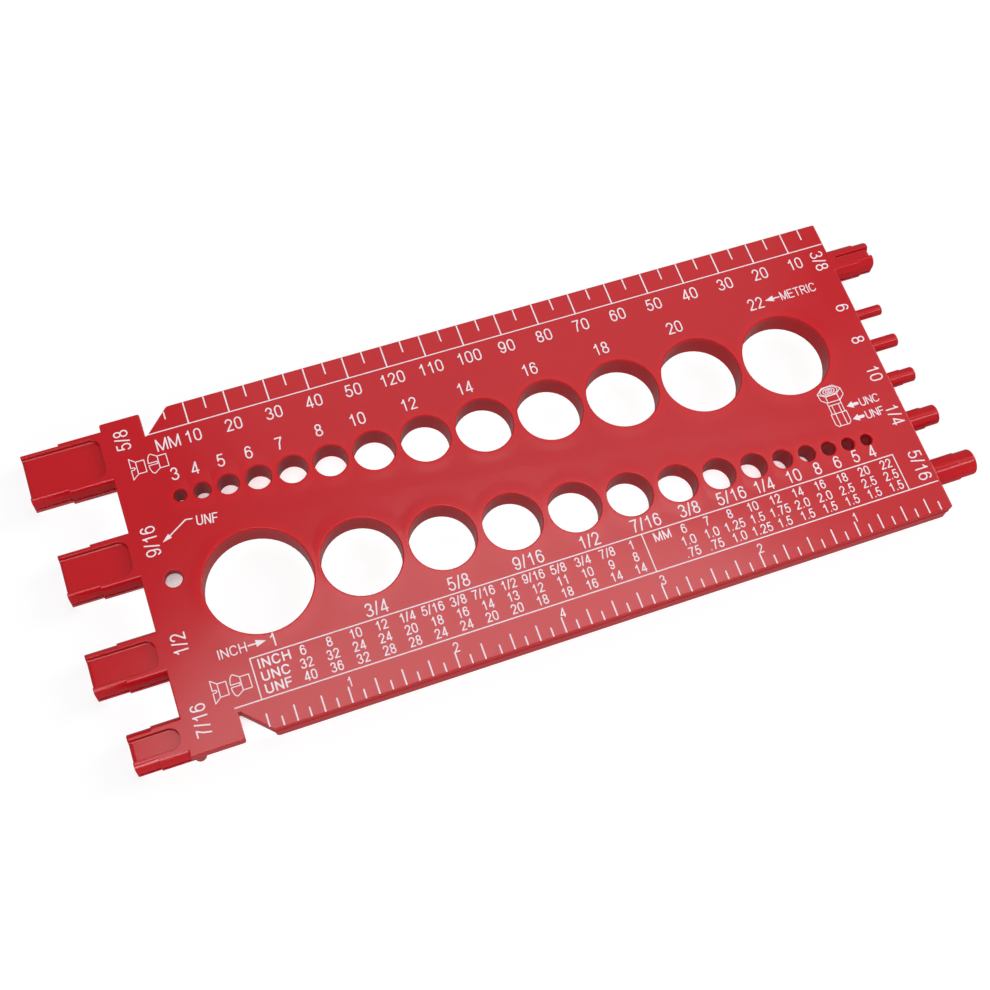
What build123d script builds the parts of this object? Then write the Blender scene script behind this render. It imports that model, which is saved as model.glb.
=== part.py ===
from build123d import *
import math
import os

os.makedirs("parts", exist_ok=True)

# Thread and hole gauge plate, one injection moulded piece, sizes in mm.
# Drawing axes: X runs along both rulers from the metric zero at the left,
# Y = 0 is the metric ruler edge and Y falls towards the inch ruler edge,
# Z = 0 is the face the plate lies on and Z = thickness is the printed face.

# Plate
rule_length = 180.0
plate_width = 84.3
left_margin = 10.4
thickness = 7.0
edge_round = 0.25

# Shell: a top skin, an outer rim, and a lower wall that carries the plate
skin = 2.2
rim_depth = 3.4
wall = 2.0
wall_set_back = 2.0
wall_corner = 0.9
wall_round = 0.5

# Groove under the lip of each ruler edge
lip = 1.5
groove_height = 0.9
groove_depth = 0.5
groove_slope = 0.5

# Corner notches where a screw head hooks over each ruler's zero
metric_hook_x = -0.7
inch_hook_x = 2.1
notch_depth = 6.2
notch_floor = 0.5

# Holes: nominal sizes, the clearance added to each, and the web left between neighbours
hole_clearance = 0.05
hole_oversize = 0.01
rim_flare = 0.25
collar_wall = 1.6
metric_sizes = [3, 4, 5, 6, 7, 8, 10, 12, 14, 16, 18, 20, 22]
metric_web = 1.62
metric_row_x = 3.3
metric_row_y = -23.45
metric_row_slope = -0.0645
inch = 25.4
inch_sizes = [
    1.0, 0.75, 0.625, 0.5625, 0.5, 0.4375, 0.375, 0.3125, 0.25,
    0.19, 0.164, 0.138, 0.125, 0.112,
]
inch_web = 1.81
inch_row_x = 14.9
inch_row_y = -49.6
inch_row_slope = -0.0765
hang_hole_x = -3.4
hang_hole_y = -43.15
hang_hole_dia = 4.1

# Posts: a root that takes the fine thread, a thinner tip that takes the coarse one
post_z = thickness / 2
post_end_round = 0.25
pin_end_round = 0.5
post_edge_round = 0.3
post_corner_round = 1.0
post_lower_step = 0.25
web_end_round = 0.9
pocket_depth = 1.35
shallow_pocket = 0.9
pocket_lip = 0.6
pocket_corner = 2.4
pocket_back = 0.95
pocket_floor_round = 0.35
side_groove_height = 0.8
side_groove_depth = 0.3
# name, centre Y, root diameter, tip diameter, root length, whole length
left_posts = [
    ("5/8", -8.4, 14.6, 13.7, 10.3, 19.3),
    ("9/16", -34.7, 13.0, 12.2, 9.1, 16.7),
    ("1/2", -59.0, 11.5, 10.8, 9.0, 16.4),
    ("7/16", -79.05, 10.0, 9.4, 6.6, 12.1),
]
# name, centre Y, root diameter, tip diameter, root length, whole length
right_posts = [
    ("3/8", -11.8, 8.5, 7.9, 7.4, 11.2),
    ("6", -27.2, 2.85, 2.85, 4.0, 8.0),
    ("8", -36.55, 3.5, 3.5, 4.0, 8.1),
    ("10", -46.9, 4.1, 3.75, 4.4, 8.1),
    ("1/4", -59.05, 5.55, 5.05, 4.5, 8.6),
    ("5/16", -73.8, 6.95, 6.5, 7.0, 11.5),
]

# Ribs on the underside and the gate boss
rib = 1.5
rib_recess = 0.5
gate_dia = 2.9
gate_x = -8.4


# Hole rows worked out from the values above
def hole_row(sizes, web, start_x, start_y, slope):
    row = []
    x = start_x
    for nominal in sizes:
        radius = (nominal * (1 + hole_oversize) + hole_clearance) / 2
        if row:
            x += row[-1][2] + web + radius
        row.append((x, start_y + slope * (x - start_x), radius))
    return row


metric_holes = hole_row(metric_sizes, metric_web, metric_row_x, metric_row_y, metric_row_slope)
inch_holes = hole_row(
    [size * inch for size in inch_sizes], inch_web, inch_row_x, inch_row_y, inch_row_slope
)
gauge_holes = metric_holes + inch_holes

left_x = -left_margin
right_x = rule_length
low_y = -plate_width


# Flat outline of the printed face with its two hook notches
def near(sketch, points):
    found = []
    for vertex in sketch.vertices():
        for x, y in points:
            if math.hypot(vertex.X - x, vertex.Y - y) < 0.05:
                found.append(vertex)
    return found


metric_ramp = metric_hook_x + notch_floor
inch_ramp = inch_hook_x + notch_floor
outline_points = [
    (left_x, 0),
    (metric_hook_x, 0),
    (metric_hook_x, -notch_depth),
    (metric_ramp, -notch_depth),
    (metric_ramp + notch_depth, 0),
    (right_x, 0),
    (right_x, low_y),
    (inch_ramp + notch_depth, low_y),
    (inch_ramp, low_y + notch_depth),
    (inch_hook_x, low_y + notch_depth),
    (inch_hook_x, low_y),
    (left_x, low_y),
]
outline = make_face(Polyline(*outline_points, close=True))
outline = fillet(near(outline, [(metric_ramp + notch_depth, 0)]), 1.2)
small_corners = [(left_x, 0), (metric_hook_x, 0), (right_x, 0), (right_x, low_y), (inch_hook_x, low_y)]
outline = fillet(near(outline, small_corners), 0.5)

# Rim plate
rim_bottom = thickness - rim_depth
rim = Pos(0, 0, rim_bottom) * extrude(outline, amount=rim_depth)
rim = fillet(rim.faces().sort_by(Axis.Z)[-1].outer_wire().edges(), edge_round)


# Lower wall, set back under the tab and the notches
def block(x0, x1, y0, y1):
    return Pos((x0 + x1) / 2, (y0 + y1) / 2) * Rectangle(x1 - x0, y1 - y0)


wall_start = inch_ramp + notch_depth
notch_y = -notch_depth - wall_set_back
foot = block(wall_start, right_x, low_y, 0)
foot += block(left_x, wall_start + wall, low_y - notch_y, notch_y)
foot += block(left_x, metric_hook_x - wall_set_back, notch_y - wall, -wall_set_back)
foot += block(left_x, inch_hook_x - wall_set_back, low_y + wall_set_back, low_y - notch_y + wall)
foot_corners = [(wall_start, 0), (wall_start, low_y), (right_x, 0), (right_x, low_y)]
foot = fillet(near(foot, foot_corners), wall_corner)
lower_wall = extrude(foot, amount=rim_bottom)
lower_wall = fillet(lower_wall.faces().sort_by(Axis.Z)[0].edges(), wall_round)
body = rim + lower_wall

# Groove under the lip along each ruler edge, its lower side sloping out
groove_top = thickness - lip
groove_foot = groove_top - groove_height
groove_points = [
    (-1, groove_top),
    (groove_depth, groove_top),
    (groove_depth, groove_foot),
    (0, groove_foot - groove_slope),
    (-1, groove_foot - groove_slope),
]
groove_face = Plane.YZ * make_face(Polyline(*groove_points, close=True))
groove_start = wall_start - 2 * groove_depth
groove = Pos(groove_start, low_y, 0) * extrude(groove_face, amount=right_x - groove_start + 1)
body -= groove
body -= Pos(0, low_y, 0) * mirror(groove, Plane.XZ)

# Cored underside between the outer wall, the hole collars and the ribs
core = offset(foot, amount=-wall, kind=Kind.INTERSECTION)
collars = Sketch()
for x, y, r in gauge_holes:
    collars += Pos(x, y) * Circle(r + collar_wall)

ribs = Sketch()
for index in (1, 4, 6, 8, 10, 11):
    x = metric_holes[index][0] + metric_holes[index][2] + metric_web / 2
    ribs += block(x - rib / 2, x + rib / 2, low_y, 0)
for row in (metric_holes, inch_holes):
    x0, y0, r0 = row[0]
    x1, y1, r1 = row[-1]
    angle = math.degrees(math.atan2(y1 - y0, x1 - x0))
    length = math.hypot(x1 - x0, y1 - y0)
    ribs += Pos((x0 + x1) / 2, (y0 + y1) / 2) * Rot(0, 0, angle) * Rectangle(length, rib)
for name, y, root, tip, root_length, length in left_posts[:3]:
    ribs += block(left_x, inch_row_x, y - rib / 2, y + rib / 2)
for row in (metric_holes, inch_holes):
    x, y, r = row[-1]
    ribs += block(x, right_x, y - rib / 2, y + rib / 2)

open_core = core - collars
ribbed_core = open_core - ribs
body -= extrude(open_core, amount=rib_recess)
for face in ribbed_core.faces():
    if face.area > 4:
        body -= Pos(0, 0, rib_recess) * extrude(face, amount=thickness - skin - rib_recess)

# Gate boss under the tab, level with the inch edge
gate_y = low_y + gate_dia / 2
body += Pos(gate_x, gate_y, 0) * extrude(Circle(gate_dia / 2), amount=rim_bottom + 0.4)


# Posts
def rod(x0, x1, y, diameter):
    return Pos((x0 + x1) / 2, y, post_z) * Rot(0, 90, 0) * Cylinder(diameter / 2, abs(x1 - x0))


# A small post is a plain round rod
def round_post(plate_x, side, y, root, tip, root_length, length):
    shoulder_x = plate_x + side * root_length
    end_x = plate_x + side * length
    tip_rod = rod(shoulder_x - side * 1.0, end_x, y, tip)
    end_edges = tip_rod.edges().filter_by(GeomType.CIRCLE).sort_by(Axis.X)
    end_edge = end_edges[-1] if side > 0 else end_edges[0]
    return rod(plate_x - side * 1.5, shoulder_x, y, root) + fillet(end_edge, pin_end_round)


# A big post has the section of a round rod cut flat at both faces of the plate,
# its lower half a step fuller, with a groove along each side between the halves
def post_section(diameter, step, groove):
    half = thickness / 2
    upper = Circle(diameter / 2) & (Pos(0, half / 2) * Rectangle(diameter + 2, half))
    lower = Circle(diameter / 2 + step) & (Pos(0, -half / 2) * Rectangle(diameter + 4, half))
    section = upper + lower
    corners = [vertex for vertex in section.vertices() if abs(abs(vertex.Y) - half) < 0.01]
    section = fillet(corners, post_edge_round)
    if groove > 0:
        for way in (-1, 1):
            section -= Pos(way * diameter / 2, 0) * Rectangle(2 * groove, side_groove_height)
    return section


def post_length(section, x0, x1, y):
    return Pos(min(x0, x1), y, post_z) * extrude(Plane.YZ * section, amount=abs(x1 - x0))


def flat_post(plate_x, side, y, root, tip, root_length, length, pocket, step, groove):
    shoulder_x = plate_x + side * root_length
    end_x = plate_x + side * length
    inner_x = plate_x - side * 1.5
    solid = post_length(post_section(root, step, groove), inner_x, shoulder_x, y)
    solid += post_length(post_section(tip, step, groove), shoulder_x - side * 1.0, end_x, y)

    # free end, rounded in plan and at both faces
    reach = 2 * length + 6
    widest = root / 2 + step + 1
    plan = Rectangle(reach, 2 * widest)
    plan -= Pos(side * reach / 2, 0) * Rectangle(2 * post_corner_round, 4 * widest)
    nose = RectangleRounded(reach, tip + 2 * step, post_corner_round)
    plan = (plan + nose) & Rectangle(reach, 2 * widest)
    solid = solid & (Pos(end_x - side * reach / 2, y, -1) * extrude(plan, amount=thickness + 2))
    side_view = RectangleRounded(reach, thickness, post_end_round)
    turned = Rot(90, 0, 0) * extrude(side_view, amount=root + 4, both=True)
    solid = solid & (Pos(end_x - side * reach / 2, y, post_z) * turned)

    # pockets in both faces, open at the free end, where the web between them is rounded
    flat = 2 * math.sqrt(tip ** 2 / 4 - thickness ** 2 / 4)
    width = flat - 2 * pocket_lip
    corner = min(pocket_corner, width / 2 - 0.1)
    back_x = plate_x + side * pocket_back
    x0, x1 = sorted((back_x, end_x + side * 6))
    hollow = extrude(Pos((x0 + x1) / 2, y) * RectangleRounded(x1 - x0, width, corner), amount=pocket * 2)
    hollow = fillet(hollow.faces().sort_by(Axis.Z)[0].edges(), pocket_floor_round)
    solid -= Pos(0, 0, thickness - pocket) * hollow
    solid -= Pos(0, 0, pocket) * mirror(hollow, Plane.XY)
    web = thickness - 2 * pocket
    nose_width = width - 2 * pocket_floor_round
    bar = Box(reach, nose_width, web + 0.4)
    kept = Rot(90, 0, 0) * extrude(RectangleRounded(reach, web, web_end_round), amount=root, both=True)
    solid -= Pos(end_x - side * reach / 2, y, post_z) * (bar - kept)
    return solid


for name, y, root, tip, root_length, length in left_posts:
    body += flat_post(
        left_x, -1, y, root, tip, root_length, length, pocket_depth, post_lower_step, side_groove_depth
    )

for name, y, root, tip, root_length, length in right_posts:
    if tip > thickness:
        body += flat_post(
            right_x, 1, y, root, tip, root_length, length, shallow_pocket, 0.1, side_groove_depth
        )
    else:
        body += round_post(right_x, 1, y, root, tip, root_length, length)

# Gauge holes and the hang hole, each flared a little at the printed face
from_below = (Align.CENTER, Align.CENTER, Align.MIN)
for x, y, r in gauge_holes + [(hang_hole_x, hang_hole_y, hang_hole_dia / 2)]:
    drill = Cylinder(r, thickness + 2)
    flare = Cone(r, r + 2 * rim_flare, 2 * rim_flare, align=from_below)
    body -= Pos(x, y, thickness / 2) * drill
    body -= Pos(x, y, thickness - rim_flare) * flare

# Own origin: middle of the whole piece, on the face it lies on
box = body.bounding_box()
gauge_plate = Pos(-(box.min.X + box.max.X) / 2, -(box.min.Y + box.max.Y) / 2, -box.min.Z) * body
solids = gauge_plate.solids()
print("solids", len(solids), "volume", round(gauge_plate.volume / 1000, 2), "cm3")
print("box", box.min, box.max)
export_step(solids[0], "parts/gauge_plate.step")
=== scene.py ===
import math

import bpy
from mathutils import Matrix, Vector


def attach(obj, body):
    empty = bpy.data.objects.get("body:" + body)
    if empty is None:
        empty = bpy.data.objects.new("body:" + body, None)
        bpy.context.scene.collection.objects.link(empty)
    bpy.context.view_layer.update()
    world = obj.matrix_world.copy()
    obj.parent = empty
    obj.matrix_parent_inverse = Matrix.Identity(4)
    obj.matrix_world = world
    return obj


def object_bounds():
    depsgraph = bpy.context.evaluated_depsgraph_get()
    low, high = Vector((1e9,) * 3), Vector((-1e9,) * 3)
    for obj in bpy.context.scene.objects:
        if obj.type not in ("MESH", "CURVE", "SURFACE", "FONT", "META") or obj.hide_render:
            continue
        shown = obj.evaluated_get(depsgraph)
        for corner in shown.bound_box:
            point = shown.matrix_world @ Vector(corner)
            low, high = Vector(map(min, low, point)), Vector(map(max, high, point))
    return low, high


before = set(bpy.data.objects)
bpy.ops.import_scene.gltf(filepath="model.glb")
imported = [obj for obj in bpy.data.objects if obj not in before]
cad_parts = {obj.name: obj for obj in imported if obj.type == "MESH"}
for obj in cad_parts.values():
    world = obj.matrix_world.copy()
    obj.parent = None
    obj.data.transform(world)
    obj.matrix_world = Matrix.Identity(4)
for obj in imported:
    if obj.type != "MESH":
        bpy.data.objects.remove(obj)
CAD_LOW, CAD_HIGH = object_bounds()
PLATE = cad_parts["gauge_plate"]

MM = 0.001
INCH = 25.4

# The plate, in millimetres from the zero of the metric ruler: X runs along both
# rulers, Y falls from the metric edge to the inch edge, and the face is at TOP.
RULE_LENGTH = 180
LONGEST_POST = 19.3
PLATE_LEFT = -10.4
ZERO_X = CAD_LOW.x / MM + LONGEST_POST - PLATE_LEFT
ZERO_Y = CAD_HIGH.y / MM
TOP = CAD_HIGH.z / MM

# The two rows of gauge holes. Each bore is a little wider than its nominal size.
METRIC_SIZES = [3, 4, 5, 6, 7, 8, 10, 12, 14, 16, 18, 20, 22]
INCH_SIZES = [1.0, 0.75, 0.625, 0.5625, 0.5, 0.4375, 0.375, 0.3125, 0.25, 0.19, 0.164, 0.138, 0.125, 0.112]
BORE_SCALE = 1.01
BORE_EASE = 0.05


def hole_row(sizes, web, start_x, start_y, slope):
    """Centre and radius of each hole of a row that keeps one web between neighbours."""
    row = []
    x = start_x
    for size in sizes:
        radius = (size * BORE_SCALE + BORE_EASE) / 2
        if row:
            x += row[-1][2] + web + radius
        row.append((x, start_y + slope * (x - start_x), radius))
    return row


METRIC_HOLES = hole_row(METRIC_SIZES, web=1.62, start_x=3.3, start_y=-23.45, slope=-0.0645)
INCH_HOLES = hole_row(
    [size * INCH for size in INCH_SIZES],
    web=1.81, start_x=14.9, start_y=-49.6, slope=-0.0765,
)

# Printed marks: a thin coat of ink, a little higher along the middle of each line
INK_EDGE = 0.012
INK_RIDGE = 0.035
LINE = 0.34
FINE_LINE = 0.27
HAIR_LINE = 0.22

# How the lines are drawn
ARC_STEP = 18.0  # degrees between the points of an arc
LEAST_ARC_STEPS = 2
END_STEPS = 4  # steps around a rounded end
SAME_PLACE = 0.02  # points nearer than this are one
SHARP_TURN = math.radians(40)  # a turn that parts a line
LEAST_COSINE = 0.7  # limits how far a bend widens the line
ARROW_OVERLAP = 0.2  # how far an arrow's line runs into its head


def on_plate(x, y, height=0.0):
    return ((x + ZERO_X) * MM, (y + ZERO_Y) * MM, (TOP + height) * MM)


# Width and strokes of each figure and letter, one cap height tall. A stroke holds points
# (x, y) and arcs (centre x, centre y, radius x, radius y, start angle, end angle).
FIGURES = {
    "0": (0.50, [[(0.25, 0.70, 0.25, 0.30, 180, 0), (0.25, 0.30, 0.25, 0.30, 0, -180), (0, 0.70)]]),
    "1": (0.50, [[(0.12, 0.74), (0.25, 0.82), (0.34, 1.0), (0.34, 0)]]),
    "2": (0.50, [[(0.25, 0.73, 0.24, 0.27, 170, -38), (0, 0), (0.50, 0)]]),
    "3": (0.50, [[(0.24, 0.76, 0.22, 0.24, 165, -90), (0.24, 0.26, 0.26, 0.26, 90, -165)]]),
    "4": (0.52, [[(0.40, 0), (0.40, 1), (0, 0.22), (0.52, 0.22)]]),
    "5": (0.50, [[(0.46, 1), (0.10, 1), (0.04, 0.50), (0.24, 0.32, 0.26, 0.32, 140, -160)]]),
    "6": (0.50, [[(0.26, 0.72, 0.22, 0.28, 20, 165), (0.25, 0.32, 0.25, 0.32, 180, 540)]]),
    "7": (0.50, [[(0, 1), (0.50, 1), (0.28, 0.55), (0.17, 0)]]),
    "8": (0.50, [[(0.25, 0.76, 0.21, 0.24, 90, 450)], [(0.25, 0.26, 0.25, 0.26, 90, 450)]]),
    "9": (0.50, [[(0.24, 0.28, 0.22, 0.28, 200, 345), (0.25, 0.68, 0.25, 0.32, 0, 360)]]),
    "/": (0.16, [[(-0.05, -0.02), (0.21, 1.02)]]),
    ".": (0.12, [[(0.06, 0), (0.06, 0.03)]]),
    "C": (0.58, [[(0.29, 0.66, 0.29, 0.34, 25, 180), (0.29, 0.34, 0.29, 0.34, 180, 335)]]),
    "E": (0.48, [[(0.48, 1), (0, 1), (0, 0), (0.48, 0)], [(0, 0.52), (0.44, 0.52)]]),
    "F": (0.46, [[(0.46, 1), (0, 1), (0, 0)], [(0, 0.50), (0.40, 0.50)]]),
    "H": (0.54, [[(0, 0), (0, 1)], [(0.54, 0), (0.54, 1)], [(0, 0.52), (0.54, 0.52)]]),
    "I": (0.04, [[(0.02, 0), (0.02, 1)]]),
    "M": (0.62, [[(0, 0), (0, 1), (0.31, 0), (0.62, 1), (0.62, 0)]]),
    "N": (0.54, [[(0, 0), (0, 1), (0.54, 0), (0.54, 1)]]),
    "R": (0.52, [[(0, 0), (0, 1), (0.26, 0.76, 0.24, 0.24, 90, -90), (0, 0.52)], [(0.27, 0.52), (0.52, 0)]]),
    "T": (0.54, [[(0, 1), (0.54, 1)], [(0.27, 1), (0.27, 0)]]),
    "U": (0.54, [[(0, 1), (0.27, 0.28, 0.27, 0.28, 180, 360), (0.54, 1)]]),
}


def spread(stroke):
    """The points of a stroke, with its arcs divided into steps."""
    points = []
    for item in stroke:
        if len(item) == 2:
            points.append(item)
            continue
        cx, cy, rx, ry, start, end = item
        count = max(LEAST_ARC_STEPS, round(abs(end - start) / ARC_STEP))
        for k in range(count + 1):
            angle = math.radians(start + (end - start) * k / count)
            points.append((cx + rx * math.cos(angle), cy + ry * math.sin(angle)))
    return points


class Print:
    """Collects the lines of one printed group and makes one mesh of them."""

    def __init__(self, name):
        self.name = name
        self.verts = []
        self.faces = []

    def run(self, points, width):
        """One smooth run of line with rounded ends."""
        half = width / 2
        left, middle, right = [], [], []
        for k, (x, y) in enumerate(points):
            ax, ay = points[max(k - 1, 0)]
            bx, by = points[min(k + 1, len(points) - 1)]
            along = Vector((bx - ax, by - ay)).normalized()
            out = Vector((-along.y, along.x)) * half
            if 0 < k < len(points) - 1:
                step = Vector((x - ax, y - ay)).normalized()
                out /= max(LEAST_COSINE, abs(Vector((-step.y, step.x)).dot(out) / half))
            for row, place, height in (
                (left, Vector((x, y)) + out, INK_EDGE),
                (middle, Vector((x, y)), INK_RIDGE),
                (right, Vector((x, y)) - out, INK_EDGE),
            ):
                row.append(len(self.verts))
                self.verts.append(on_plate(place.x, place.y, height))
        for k in range(len(points) - 1):
            self.faces.append((left[k], middle[k], middle[k + 1], left[k + 1]))
            self.faces.append((middle[k], right[k], right[k + 1], middle[k + 1]))
        self.round_end(points[0], points[1], half, middle[0], left[0], right[0])
        self.round_end(points[-1], points[-2], half, middle[-1], right[-1], left[-1])

    def round_end(self, end, before, half, middle, first, last):
        """A half circle around the end of a run."""
        away = math.atan2(end[1] - before[1], end[0] - before[0])
        rim = [first]
        for k in range(1, END_STEPS):
            angle = away - math.pi / 2 + math.pi * k / END_STEPS
            rim.append(len(self.verts))
            x = end[0] + half * math.cos(angle)
            y = end[1] + half * math.sin(angle)
            self.verts.append(on_plate(x, y, INK_EDGE))
        rim.append(last)
        for a, b in zip(rim, rim[1:]):
            self.faces.append((middle, a, b))

    def line(self, points, width=LINE):
        """A line of any shape, parted where it turns sharply."""
        run = [points[0]]
        for k in range(1, len(points)):
            if math.dist(points[k], run[-1]) < SAME_PLACE:
                continue
            run.append(points[k])
            if k == len(points) - 1:
                break
            before = Vector(points[k]) - Vector(run[-2])
            after = Vector(points[k + 1]) - Vector(points[k])
            if after.length > SAME_PLACE and before.angle(after) > SHARP_TURN:
                self.run(run, width)
                run = [points[k]]
        if len(run) > 1:
            self.run(run, width)

    def patch(self, corners):
        """A filled shape, such as an arrow head."""
        cx = sum(x for x, y in corners) / len(corners)
        cy = sum(y for x, y in corners) / len(corners)
        hub = len(self.verts)
        self.verts.append(on_plate(cx, cy, INK_RIDGE))
        rim = []
        for x, y in corners:
            rim.append(len(self.verts))
            self.verts.append(on_plate(x, y, INK_EDGE))
        for a, b in zip(rim, rim[1:] + rim[:1]):
            self.faces.append((hub, a, b))

    def arrow(self, tail, tip, head, wide, width=LINE):
        """A line that ends in a filled head of this length and width."""
        along = (Vector(tip) - Vector(tail)).normalized()
        side = Vector((-along.y, along.x)) * wide / 2
        neck = Vector(tip) - along * head
        self.line([tail, tuple(neck + along * ARROW_OVERLAP)], width)
        self.patch([tip, tuple(neck + side), tuple(neck - side)])

    def words(self, text, x, y, cap, turn=0.0, width=LINE, gap=0.26, squeeze=1.0, anchor="middle"):
        """Figures or letters whose middle, or left end, is at (x, y)."""
        tall = cap - width
        starts = []
        place = 0.0
        for sign in text:
            starts.append(place)
            place += FIGURES[sign][0] + gap
        total = (place - gap) * squeeze * tall
        shift = total / 2 if anchor == "middle" else 0.0
        c, s = math.cos(math.radians(turn)), math.sin(math.radians(turn))
        for sign, start in zip(text, starts):
            for stroke in FIGURES[sign][1]:
                placed = []
                for px, py in spread(stroke):
                    u = (start + px) * squeeze * tall - shift
                    v = (py - 0.5) * tall
                    placed.append((x + u * c - v * s, y + u * s + v * c))
                self.line(placed, width)

    def finish(self, material):
        """Makes the group's mesh, which rides on the plate."""
        mesh = bpy.data.meshes.new(self.name)
        mesh.from_pydata(self.verts, [], self.faces)
        mesh.update()
        for face in mesh.polygons:
            face.use_smooth = True
        mesh.materials.append(material)
        piece = bpy.data.objects.new(self.name, mesh)
        bpy.context.collection.objects.link(piece)
        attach(piece, "root")


# Materials
def from_hex(text):
    """An sRGB hex colour as the linear values that a shader takes."""
    linear = []
    for k in (0, 2, 4):
        value = int(text[k:k + 2], 16) / 255
        linear.append(value / 12.92 if value <= 0.04045 else ((value + 0.055) / 1.055) ** 2.4)
    return (*linear, 1.0)


def repeats(size):
    """How often a pattern of this size, in millimetres, repeats along a metre."""
    return 1 / (size * MM)


def ease(start, end, low, high):
    """Settings of a map range: a smooth change from low to high between two values."""
    return {
        "interpolation_type": "SMOOTHSTEP",
        "From Min": start, "From Max": end, "To Min": low, "To Max": high,
    }


def blank(name):
    material = bpy.data.materials.new(name)
    material.use_nodes = True
    material.node_tree.nodes.clear()
    return material


def add(material, kind, settings=None, **links):
    """Adds a node, sets its properties and sockets, and links sockets to other nodes' outputs."""
    node = material.node_tree.nodes.new(kind)
    for key, value in (settings or {}).items():
        if isinstance(key, str) and hasattr(node, key):
            setattr(node, key, value)
        else:
            node.inputs[key].default_value = value
    for key, source in links.items():
        socket = int(key[1:]) if key[0] == "_" else key.replace("_", " ")
        material.node_tree.links.new(source, node.inputs[socket])
    return node


def from_rims(m, place, holes):
    """How far a point of the face is from the nearest rim of these holes, in millimetres."""
    flat = add(m, "ShaderNodeVectorMath", {"operation": "MULTIPLY", 1: (1 / MM, 1 / MM, 0)}, _0=place)
    nearest = None
    for x, y, radius in holes:
        centre = (x + ZERO_X, y + ZERO_Y, 0)
        reach = add(m, "ShaderNodeVectorMath", {"operation": "DISTANCE", 1: centre}, _0=flat.outputs[0])
        gap = add(m, "ShaderNodeMath", {"operation": "SUBTRACT", 1: radius}, _0=reach.outputs["Value"])
        if nearest is None:
            nearest = gap
        else:
            pair = {"_0": nearest.outputs[0], "_1": gap.outputs[0]}
            nearest = add(m, "ShaderNodeMath", {"operation": "MINIMUM"}, **pair)
    return nearest.outputs[0]


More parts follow.
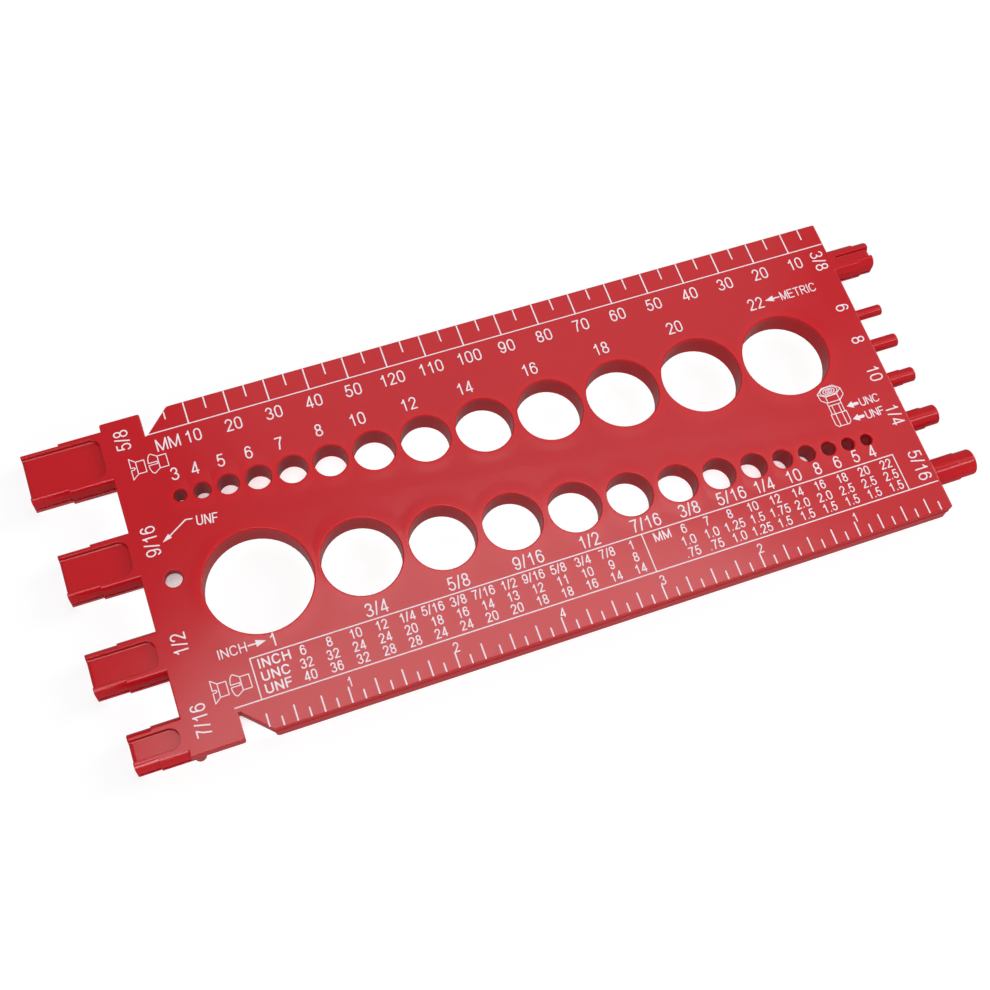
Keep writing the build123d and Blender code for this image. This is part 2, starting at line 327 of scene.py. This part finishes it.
def moulded_abs():
    """Injection moulded red ABS, a little translucent, with a polished tool's gloss. Its colour has a
    painted glow of purer red around the holes, standing in for light from below that comes through the
    collars. The skin dips beside each hole's collar and waves over the ribs, the walls carry draw marks, the
    edges are softly broken, and handling left a fine haze and a few pale specks."""
    m = blank("moulded_abs")
    place = add(m, "ShaderNodeTexCoord").outputs["Object"]
    metric_rims = from_rims(m, place, METRIC_HOLES)
    inch_rims = from_rims(m, place, INCH_HOLES)
    rims = add(m, "ShaderNodeMath", {"operation": "MINIMUM"}, _0=metric_rims, _1=inch_rims).outputs[0]

    # Where the surface faces up, and where it is a wall
    facing = add(m, "ShaderNodeSeparateXYZ", _0=add(m, "ShaderNodeNewGeometry").outputs["True Normal"])
    level = add(m, "ShaderNodeMath", {"operation": "GREATER_THAN", 1: 0.7}, _0=facing.outputs["Z"])
    tilt = add(m, "ShaderNodeMath", {"operation": "ABSOLUTE"}, _0=facing.outputs["Z"])
    upright = add(m, "ShaderNodeMath", {"operation": "LESS_THAN", 1: 0.5}, _0=tilt.outputs[0])

    # Colour: broad flow marks, a painted glow of purer red up to 2.8 mm from the holes for light from below
    # through the collars, and pale specks
    flow = add(m, "ShaderNodeTexNoise", {"Scale": repeats(55), "Detail": 3.0}, Vector=place)
    reds = {"data_type": "RGBA", 6: from_hex("BC0F1B"), 7: from_hex("C7141F")}
    base = add(m, "ShaderNodeMix", reds, Factor=flow.outputs["Fac"])
    # Painted glow: faces that look up are painted a purer red near the holes, in place of light from below
    # coming through the collars
    painted_glow_reach = add(m, "ShaderNodeMapRange", ease(0.0, 2.8, 0.32, 0.0), Value=rims)
    glow = add(m, "ShaderNodeMath", {"operation": "MULTIPLY"}, _0=painted_glow_reach.outputs[0], _1=level.outputs[0])
    painted_glow_red = {"data_type": "RGBA", 7: from_hex("DA0A15")}
    red = add(m, "ShaderNodeMix", painted_glow_red, Factor=glow.outputs[0], _6=base.outputs[2])
    dots = add(m, "ShaderNodeTexVoronoi", {"Scale": repeats(21)}, Vector=place)
    speck = add(m, "ShaderNodeMapRange", ease(0.004, 0.014, 0.55, 0.0), Value=dots.outputs["Distance"])
    pale = {"data_type": "RGBA", 7: from_hex("E58C92")}
    worn = add(m, "ShaderNodeMix", pale, Factor=speck.outputs["Result"], _6=red.outputs[2])

    # Edges: 0.16 mm round, and nearly sharp at the metric holes
    soft = add(m, "ShaderNodeMapRange", ease(0.8, 1.6, 0.02 * MM, 0.16 * MM), Value=metric_rims)
    edges = add(m, "ShaderNodeBevel", {"samples": 6}, Radius=soft.outputs["Result"])

    # Skin: raised 0.045 mm at each collar, sunk beside it, and waved by 0.05 mm
    collar = add(m, "ShaderNodeMapRange", ease(0.2, 3.6, 0.045, 0.0), Value=rims)
    swell = add(m, "ShaderNodeMapRange", ease(3.6, 9.0, 0.0, 0.015), Value=rims)
    dish = add(
        m, "ShaderNodeMath", {"operation": "ADD"},
        _0=collar.outputs["Result"], _1=swell.outputs["Result"],
    )
    waves = add(m, "ShaderNodeTexNoise", {"Scale": repeats(14), "Detail": 1.0}, Vector=place)
    wave = add(m, "ShaderNodeMath", {"operation": "MULTIPLY", 1: 0.05}, _0=waves.outputs["Fac"])
    wavy = add(m, "ShaderNodeMath", {"operation": "ADD"}, _0=wave.outputs[0], _1=dish.outputs[0])
    sink = add(
        m, "ShaderNodeBump", {"Strength": 1.0, "Distance": MM},
        Height=wavy.outputs[0], Normal=edges.outputs["Normal"],
    )

    # Grain of 0.6 mm all over and draw marks 0.5 mm apart down the walls, both drawn coarser
    # than real ones so that they show
    grain = add(m, "ShaderNodeTexNoise", {"Scale": repeats(0.6), "Detail": 2.0}, Vector=place)
    skin = add(
        m, "ShaderNodeBump", {"Strength": 0.05, "Distance": 0.02 * MM},
        Height=grain.outputs["Fac"], Normal=sink.outputs["Normal"],
    )
    along = add(m, "ShaderNodeVectorMath", {"operation": "MULTIPLY", 1: (1.0, 1.0, 0.04)}, _0=place)
    marks = add(m, "ShaderNodeTexNoise", {"Scale": repeats(0.5), "Detail": 2.0}, Vector=along.outputs[0])
    drawn = add(
        m, "ShaderNodeBump", {"Distance": 0.06 * MM},
        Strength=upright.outputs["Value"], Height=marks.outputs["Fac"], Normal=skin.outputs["Normal"],
    )

    # Gloss, in patches of about 30 mm
    haze = add(m, "ShaderNodeTexNoise", {"Scale": repeats(30), "Detail": 4.0}, Vector=place)
    gloss = add(m, "ShaderNodeMapRange", {"To Min": 0.11, "To Max": 0.18}, Value=haze.outputs["Fac"])
    body = {
        "IOR": 1.53, "Specular IOR Level": 0.5, "Subsurface Weight": 0.25, "Subsurface Scale": 1.0 * MM,
        "Subsurface Radius": (1.0, 0.12, 0.10),
    }
    shader = add(
        m, "ShaderNodeBsdfPrincipled", body,
        Base_Color=worn.outputs[2], Roughness=gloss.outputs["Result"], Normal=drawn.outputs["Normal"],
    )
    add(m, "ShaderNodeOutputMaterial", Surface=shader.outputs["BSDF"])
    return m


def pad_print_ink():
    """White pad-printing ink: matt and thin, so that a little of the red below tints it, more or
    less from one millimetre to the next."""
    m = blank("pad_print_ink")
    place = add(m, "ShaderNodeTexCoord").outputs["Object"]
    cover = add(m, "ShaderNodeTexNoise", {"Scale": repeats(1.2), "Detail": 2.0}, Vector=place)
    whites = {"data_type": "RGBA", 6: from_hex("E9D8E1"), 7: from_hex("FBF0F5")}
    base = add(m, "ShaderNodeMix", whites, Factor=cover.outputs["Fac"])
    shader = add(m, "ShaderNodeBsdfPrincipled", {"Roughness": 0.6, "IOR": 1.5}, Base_Color=base.outputs[2])
    add(m, "ShaderNodeOutputMaterial", Surface=shader.outputs["BSDF"])
    return m


def paper_sweep():
    """White studio paper: it shows as white, keeps a little of the object's shadow, has painted shade and a
    painted pink of the red walls' thrown-back light at the foot of the smallest holes, and is far dimmer in
    the plastic's reflections."""
    white_share = 0.72  # what the eye sees as plain white; the rest takes the shadow
    mirror_light = 0.2  # how bright the plastic mirrors the paper
    m = blank("paper_sweep")
    paths = add(m, "ShaderNodeLightPath").outputs
    eye, mirror = paths["Is Camera Ray"], paths["Is Glossy Ray"]

    # How open the sky is within 12 mm, from 0 in a small hole to 1 beside the plate
    sky = add(m, "ShaderNodeAmbientOcclusion", {"samples": 8, "Distance": 12 * MM}).outputs["AO"]
    # Painted shade: the paper's brightness to the eye falls in the smallest holes, and rises in wider ones
    # so that it stays white there
    rising = add(m, "ShaderNodeMapRange", ease(0.045, 0.13, 0.12, 1.3), Value=sky).outputs["Result"]
    falling = add(m, "ShaderNodeMapRange", ease(0.3, 0.7, 1.0, 0.82), Value=sky).outputs["Result"]
    to_eye = add(m, "ShaderNodeMath", {"operation": "MULTIPLY"}, _0=rising, _1=falling).outputs[0]
    mirrored = add(m, "ShaderNodeMath", {"operation": "MULTIPLY", 1: mirror_light}, _0=mirror).outputs[0]
    bright = add(m, "ShaderNodeMath", {"operation": "MULTIPLY_ADD"}, _0=to_eye, _1=eye, _2=mirrored)
    # Painted light: the paper turns pink at the foot of the smallest holes, for light thrown back by the red
    # walls
    clear = add(m, "ShaderNodeMapRange", ease(0.05, 0.2, 0.0, 1.0), Value=sky).outputs["Result"]
    whites = {"data_type": "RGBA", 6: from_hex("FFBEC6"), 7: from_hex("FFFFFF")}
    white_or_painted_pink = add(m, "ShaderNodeMix", whites, Factor=clear)

    paper = add(m, "ShaderNodeBsdfDiffuse", {"Color": from_hex("F4F4F4")}).outputs[0]
    glow = add(m, "ShaderNodeEmission", Color=white_or_painted_pink.outputs[2], Strength=bright.outputs[0]).outputs[0]
    share = add(m, "ShaderNodeMath", {"operation": "MULTIPLY_ADD", 1: white_share}, _0=eye, _2=mirror)
    both = add(m, "ShaderNodeMixShader", Fac=share.outputs[0], _1=paper, _2=glow)
    add(m, "ShaderNodeOutputMaterial", Surface=both.outputs["Shader"])
    return m


INK = pad_print_ink()
PLATE.data.materials.clear()
PLATE.data.materials.append(moulded_abs())


# Cap heights
CAP = 3.3
SMALL_CAP = 2.4
POST_CAP = 3.5

# Metric ruler: ticks every 5 mm, and figures that count from both ends and drift a
# little to the right
METRIC_BASE_Y = -6.1
METRIC_BASE_LEFT = -0.6
METRIC_BASE_RIGHT = RULE_LENGTH - 0.4
METRIC_SHORT_Y = -3.2
METRIC_TICK_TOP = -0.3
RAMP_TICK_TOP = -1.4
METRIC_FIGURES_Y = -9.5
COUNT_TURN = 50
FIGURE_SHIFT = 0.1
FIGURE_DRIFT = 0.001
MM_MARK_X = 4.05


def metric_ruler():
    ruler = Print("metric_ruler_print")
    ruler.line([(METRIC_BASE_LEFT, METRIC_BASE_Y), (METRIC_BASE_RIGHT, METRIC_BASE_Y)], FINE_LINE)
    for x in range(5, RULE_LENGTH, 5):
        top = RAMP_TICK_TOP if x == 5 else METRIC_TICK_TOP
        ruler.line([(x, top), (x, METRIC_BASE_Y if x % 10 == 0 else METRIC_SHORT_Y)])
    for x in range(10, RULE_LENGTH, 10):
        count = x if x <= COUNT_TURN else RULE_LENGTH - x
        ruler.words(str(count), x + FIGURE_SHIFT + FIGURE_DRIFT * x, METRIC_FIGURES_Y, CAP)
    ruler.words("MM", MM_MARK_X, METRIC_FIGURES_Y, CAP, gap=0.2, squeeze=1.27)
    ruler.finish(INK)


# Inch ruler: ticks every eighth, counted from both ends, shorter on the ramp at the left
INCH_TICK_TOP = -80.4
INCH_SHORT_TOP = -82.0
INCH_TICK_FOOT = -84.0
RAMP_TICK_FOOT = -83.3
RAMP_END = 9.0
INCH_LEFT_ZERO = 1.55
INCH_RIGHT_ZERO = 180.1
LEFT_TICKS = 18
RIGHT_TICKS = 37
INCH_FIGURES_Y = -79.3
INCH_FIGURE_SHIFT = 0.7


def inch_ruler():
    ruler = Print("inch_ruler_print")

    def tick(x, eighths):
        top = INCH_SHORT_TOP if eighths % 2 else INCH_TICK_TOP
        ruler.line([(x, top), (x, INCH_TICK_FOOT if x > RAMP_END else RAMP_TICK_FOOT)])
        if eighths % 8 == 0:
            place = x + INCH_FIGURE_SHIFT
            ruler.words(str(eighths // 8), place, INCH_FIGURES_Y, SMALL_CAP, width=FINE_LINE)

    for eighths in range(2, LEFT_TICKS + 1):
        tick(INCH_LEFT_ZERO + eighths * INCH / 8, eighths)
    for eighths in range(1, RIGHT_TICKS + 1):
        tick(INCH_RIGHT_ZERO - eighths * INCH / 8, eighths)
    ruler.finish(INK)


# Hole sizes: where each figure stands along the plate, and at what height
METRIC_LABELS = {
    "3": 3.5, "4": 8.35, "5": 14.65, "6": 21.45, "7": 29.05, "8": 39.0, "10": 48.65,
    "12": 61.8, "14": 76.3, "16": 93.4, "18": 112.6, "20": 132.8, "22": 155.6,
}
METRIC_LABELS_Y = -17.35
LOW_LABELS = ("3", "4", "5", "6", "7")
LOW_LABELS_Y = -17.8
INCH_LABELS = {
    "1": 14.1, "3/4": 38.65, "5/8": 58.65, "9/16": 76.05, "1/2": 91.45, "7/16": 106.1, "3/8": 117.45,
    "5/16": 128.6, "1/4": 137.3, "10": 145.3, "8": 151.9, "6": 157.35, "5": 162.4, "4": 166.9,
}
INCH_LABELS_Y = -64.55
ONE_INCH_LABEL_Y = -64.3

# The mark and arrow at the widest hole of each row
METRIC_MARK = (162.85, -17.25)
METRIC_MARK_CAP = 2.55
METRIC_ARROW = [(162.3, -17.3), (158.3, -17.3)]
INCH_MARK = (1.45, -64.0)
INCH_ARROW = [(8.4, -64.0), (12.6, -64.0)]
ROW_HEAD = 2.4
ROW_HEAD_WIDE = 1.7


def hole_sizes():
    sizes = Print("hole_size_print")
    for text, x in METRIC_LABELS.items():
        sizes.words(text, x, LOW_LABELS_Y if text in LOW_LABELS else METRIC_LABELS_Y, CAP)
    for text, x in INCH_LABELS.items():
        sizes.words(text, x, ONE_INCH_LABEL_Y if text == "1" else INCH_LABELS_Y, CAP)
    fine = {"width": FINE_LINE, "anchor": "left"}
    sizes.words("METRIC", *METRIC_MARK, METRIC_MARK_CAP, gap=0.2, squeeze=1.13, **fine)
    sizes.arrow(*METRIC_ARROW, ROW_HEAD, ROW_HEAD_WIDE)
    sizes.words("INCH", *INCH_MARK, SMALL_CAP, gap=0.24, squeeze=1.23, **fine)
    sizes.arrow(*INCH_ARROW, ROW_HEAD, ROW_HEAD_WIDE)
    sizes.finish(INK)


# Thread table: its frame, whose foot runs on along the inch ruler, and its cells
TABLE_TOP = -67.0
TABLE_FOOT = -76.95
TABLE_LEFT = 7.9
TABLE_PART = 104.0
TABLE_RIGHT = 171.5
TABLE_ROWS = [-68.8, -71.9, -74.95]
FOOT_LEFT = 1.7
FOOT_RIGHT = RULE_LENGTH - 0.6
TITLES_X = 9.5
TITLE_LINE = 0.38
MM_TITLE_X = 108.7
MM_TITLE_LINE = 0.3
CELL_LINE = 0.29
INCH_COLUMN = 19.8
INCH_PITCH = 6.22
METRIC_COLUMN = 114.3
METRIC_PITCH = 6.05
INCH_TABLE = [
    ["6", "8", "10", "12", "1/4", "5/16", "3/8", "7/16", "1/2", "9/16", "5/8", "3/4", "7/8", "1"],
    ["32", "32", "24", "24", "20", "18", "16", "14", "13", "12", "11", "10", "9", "8"],
    ["40", "36", "32", "28", "28", "24", "24", "20", "20", "18", "18", "16", "14", "14"],
]
METRIC_TABLE = [
    ["6", "7", "8", "10", "12", "14", "16", "18", "20", "22"],
    ["1.0", "1.0", "1.25", "1.5", "1.75", "2.0", "2.0", "2.5", "2.5", "2.5"],
    [".75", ".75", "1.0", "1.25", "1.5", "1.5", "1.5", "1.5", "1.5", "1.5"],
]


def thread_table():
    table = Print("thread_table_print")
    table.line([(TABLE_LEFT, TABLE_FOOT), (TABLE_LEFT, TABLE_TOP), (TABLE_RIGHT, TABLE_TOP)], FINE_LINE)
    table.line([(TABLE_RIGHT, TABLE_TOP), (TABLE_RIGHT, TABLE_FOOT)], FINE_LINE)
    table.line([(FOOT_LEFT, TABLE_FOOT), (FOOT_RIGHT, TABLE_FOOT)], FINE_LINE)
    table.line([(TABLE_PART, TABLE_TOP), (TABLE_PART, TABLE_FOOT)], FINE_LINE)
    for title, y in zip(("INCH", "UNC", "UNF"), TABLE_ROWS):
        table.words(title, TITLES_X, y, SMALL_CAP, width=TITLE_LINE, gap=0.3, squeeze=1.36, anchor="left")
    table.words("MM", MM_TITLE_X, TABLE_ROWS[0], SMALL_CAP, width=MM_TITLE_LINE, squeeze=1.25)
    inch_part = (INCH_COLUMN, INCH_PITCH, INCH_TABLE)
    metric_part = (METRIC_COLUMN, METRIC_PITCH, METRIC_TABLE)
    for start, pitch, cells in (inch_part, metric_part):
        for y, row in zip(TABLE_ROWS, cells):
            for column, text in enumerate(row):
                table.words(text, start + column * pitch, y, SMALL_CAP, width=CELL_LINE)
    table.finish(INK)


# Post sizes, read from the plate's ends: where each figure stands across the plate
LEFT_LABELS_X = -6.1
LEFT_LABELS = {"5/8": -5.7, "9/16": -32.7, "1/2": -58.75, "7/16": -77.15}
RIGHT_LABELS_X = 176.9
RIGHT_LABELS = {"3/8": -10.6, "6": -25.2, "8": -35.0, "10": -45.0, "1/4": -57.15, "5/16": -71.7}


def post_sizes():
    sizes = Print("post_size_print")
    for text, y in LEFT_LABELS.items():
        sizes.words(text, LEFT_LABELS_X, y, POST_CAP, turn=90, squeeze=0.95)
    for text, y in RIGHT_LABELS.items():
        sizes.words(text, RIGHT_LABELS_X, y, POST_CAP, turn=-90)
    sizes.finish(INK)


# Small drawings. The screw heads are drawn as upper halves, in millimetres from the
# left end of their axis, and mirrored below it.
METRIC_SCREWS = (-6.0, -13.7)
INCH_SCREWS = (-2.1, -71.9)
COUNTERSUNK_HEAD = [(1.1, 0), (0.85, 0.3), (0.1, 0.3), (0.1, 2.75), (1.5, 1.6), (1.5, 0)]
COUNTERSUNK_SHANK = [(1.5, 1.6), (3.5, 1.6), (3.5, 0)]
ROUND_SLOT = [(6.4, 0), (6.4, 0.3), (4.3, 0.3)]
ROUND_HEAD = [(5.3, 0.3, 1.0, 2.25, 180, 90), (6.7, 1.6), (6.7, 0)]
ROUND_SHANK = [(6.7, 1.6), (8.8, 1.6), (8.8, 0)]


def screw_heads(group, place):
    """A countersunk and a round screw head, as they hook over a ruler's zero."""
    for half in (1, -1):
        for shape in (COUNTERSUNK_HEAD, COUNTERSUNK_SHANK, ROUND_SLOT, ROUND_HEAD, ROUND_SHANK):
            points = [(place[0] + x, place[1] + y * half) for x, y in spread(shape)]
            group.line(points, HAIR_LINE)


# The hexagon nut around its bore, and half of the stepped post below it, from its axis
NUT_MIDDLE = (163.4, -46.1)
NUT_RINGS = [(2.35, 1.15), (1.55, 0.75), (0.85, 0.42)]
NUT_BORE = [(-0.45, 0), (0, 0.2), (0.45, 0), (0, -0.2)]
NUT_TOP = [(160.2, -46.2), (161.9, -44.9), (165.0, -44.8), (166.6, -46.1), (165.1, -47.3), (162.0, -47.4)]
NUT_SIDE = [(160.2, -46.2), (160.4, -48.0), (161.7, -49.1), (165.3, -49.1), (166.7, -47.9), (166.6, -46.1)]
NUT_CORNERS = [[(162.0, -47.4), (161.9, -49.1)], [(165.1, -47.3), (165.2, -49.1)]]
POST_SIDE = [(1.75, -49.1), (1.75, -52.2), (2.1, -52.4), (2.1, -55.2), (1.5, -55.9), (0, -55.9)]
POST_FLAT = [(0.9, -50.0), (0.9, -55.9)]
POST_STEPS = [(1.75, -50.0), (2.1, -52.4)]

# The mark and arrow beside each step of that post
STEP_MARKS = {"UNC": -51.4, "UNF": -55.1}
STEP_MARKS_X = 169.85
STEP_MARKS_CAP = 2.3
STEP_TAIL_X = 169.0
STEP_TIP_X = 166.1
STEP_HEAD = 1.7
STEP_HEAD_WIDE = 1.9
STEP_LINE = 0.8


def nut_on_post(group):
    """A hexagon nut over a post with a shoulder, and which thread each step takes."""
    middle, height = NUT_MIDDLE
    for wide, tall in NUT_RINGS:
        group.line(spread([(middle, height, wide, tall, 0, 360)]), HAIR_LINE)
    group.patch([(middle + x, height + y) for x, y in NUT_BORE])
    for shape in (NUT_TOP + NUT_TOP[:1], NUT_SIDE, *NUT_CORNERS):
        group.line(shape, HAIR_LINE)
    for half in (-1, 1):
        for shape in (POST_SIDE, POST_FLAT):
            group.line([(middle + x * half, y) for x, y in shape], HAIR_LINE)
    for reach, y in POST_STEPS:
        group.line([(middle - reach, y), (middle + reach, y)], HAIR_LINE)
    for word, y in STEP_MARKS.items():
        group.arrow((STEP_TAIL_X, y), (STEP_TIP_X, y), STEP_HEAD, STEP_HEAD_WIDE, STEP_LINE)
        fine = {"width": FINE_LINE, "anchor": "left"}
        group.words(word, STEP_MARKS_X, y, STEP_MARKS_CAP, gap=0.2, squeeze=1.2, **fine)


# The pointer from the fine thread's mark to the posts at the left
POINTER_LINE = 0.3
POINTER = [(4.4, -30.1), (2.9, -29.9), (-1.4, -32.6)]
POINTER_ARROW = [(-1.0, -32.4), (-3.5, -33.8)]
POINTER_HEAD = 2.3
POINTER_HEAD_WIDE = 1.3
POINTER_MARK = (5.4, -30.9)
POINTER_MARK_CAP = 2.6
POINTER_MARK_TURN = -8.0


def drawings():
    group = Print("drawing_print")
    screw_heads(group, METRIC_SCREWS)
    screw_heads(group, INCH_SCREWS)
    nut_on_post(group)
    group.line(POINTER, POINTER_LINE)
    group.arrow(*POINTER_ARROW, POINTER_HEAD, POINTER_HEAD_WIDE)
    group.words(
        "UNF", *POINTER_MARK, POINTER_MARK_CAP,
        turn=POINTER_MARK_TURN, width=POINTER_LINE, anchor="left",
    )
    group.finish(INK)


metric_ruler()
inch_ruler()
hole_sizes()
thread_table()
post_sizes()
drawings()


# Studio, in metres
PAPER_SIZE = 6.0
PAPER_Z = -0.1 * MM
AIR_LIGHT = 0.255


def paper_floor():
    bpy.ops.mesh.primitive_plane_add(size=PAPER_SIZE, location=(0, 0, PAPER_Z))
    floor = bpy.context.object
    floor.name = "floor"
    floor.data.materials.append(paper_sweep())


def softbox(name, place, target, size, power, shape="RECTANGLE"):
    light = bpy.data.lights.new(name, "AREA")
    light.shape = shape
    light.size, light.size_y = size
    light.energy = power
    lamp = bpy.data.objects.new(name, light)
    lamp.location = place
    lamp.rotation_mode = "QUATERNION"
    lamp.rotation_quaternion = (Vector(target) - Vector(place)).to_track_quat("-Z", "Y")
    bpy.context.collection.objects.link(lamp)


def studio_air(strength):
    world = bpy.data.worlds.new("studio_air")
    world.use_nodes = True
    world.node_tree.nodes["Background"].inputs["Color"].default_value = (1, 1, 1, 1)
    world.node_tree.nodes["Background"].inputs["Strength"].default_value = strength
    bpy.context.scene.world = world


paper_floor()
studio_air(AIR_LIGHT)

# Lamps: place, target and size in metres, and watts. The face mirrors the overhead oval
# along the inch ruler, the rear lamp along the metric one and the right lamp at its right
# end. The strips light the posts and the edge that faces the camera.
softbox("overhead", (0.115, 0.10, 1.0), (0.115, 0.10, 0), (0.70, 0.50), 2.05, "ELLIPSE")
softbox("rear", (0.28, 0.60, 1.0), (0.10, 0.10, 0), (0.58, 0.45), 0.46)
softbox("right", (0.75, 0.30, 1.0), (0.10, 0.05, 0), (0.35, 0.90), 0.52)
softbox("right_strip", (0.62, -0.30, 1.0), (0.10, 0, 0), (0.30, 0.12), 0.45)
softbox("right_side", (1.0, 0.15, 0.62), (0, 0, 0), (0.5, 0.5), 4.5)
softbox("high_front", (-0.30, -0.35, 1.20), (0, 0, 0), (0.7, 0.7), 5.6)
softbox("front_strip", (-0.20, -1.10, 0.08), (-0.20, 0, 0.08), (1.4, 0.14), 3.4)

# Camera: where the photograph was taken from, in metres and degrees
CAMERA_PLACE = (-0.07629, -0.13545, 0.36562)
CAMERA_TURN = (25.3997, -4.6041, -19.9607)
CAMERA_LENS = 58.739
CAMERA_SENSOR = 36.0
CAMERA_SHIFT = (-0.035, -0.09)
CAMERA_NEAR = 0.01

camera_data = bpy.data.cameras.new("camera")
camera_data.lens = CAMERA_LENS
camera_data.sensor_width = CAMERA_SENSOR
camera_data.shift_x, camera_data.shift_y = CAMERA_SHIFT
camera_data.clip_start = CAMERA_NEAR
camera = bpy.data.objects.new("camera", camera_data)
camera.location = CAMERA_PLACE
camera.rotation_euler = [math.radians(angle) for angle in CAMERA_TURN]
bpy.context.collection.objects.link(camera)
bpy.context.scene.camera = camera
bpy.context.scene.view_settings.view_transform = "Standard"
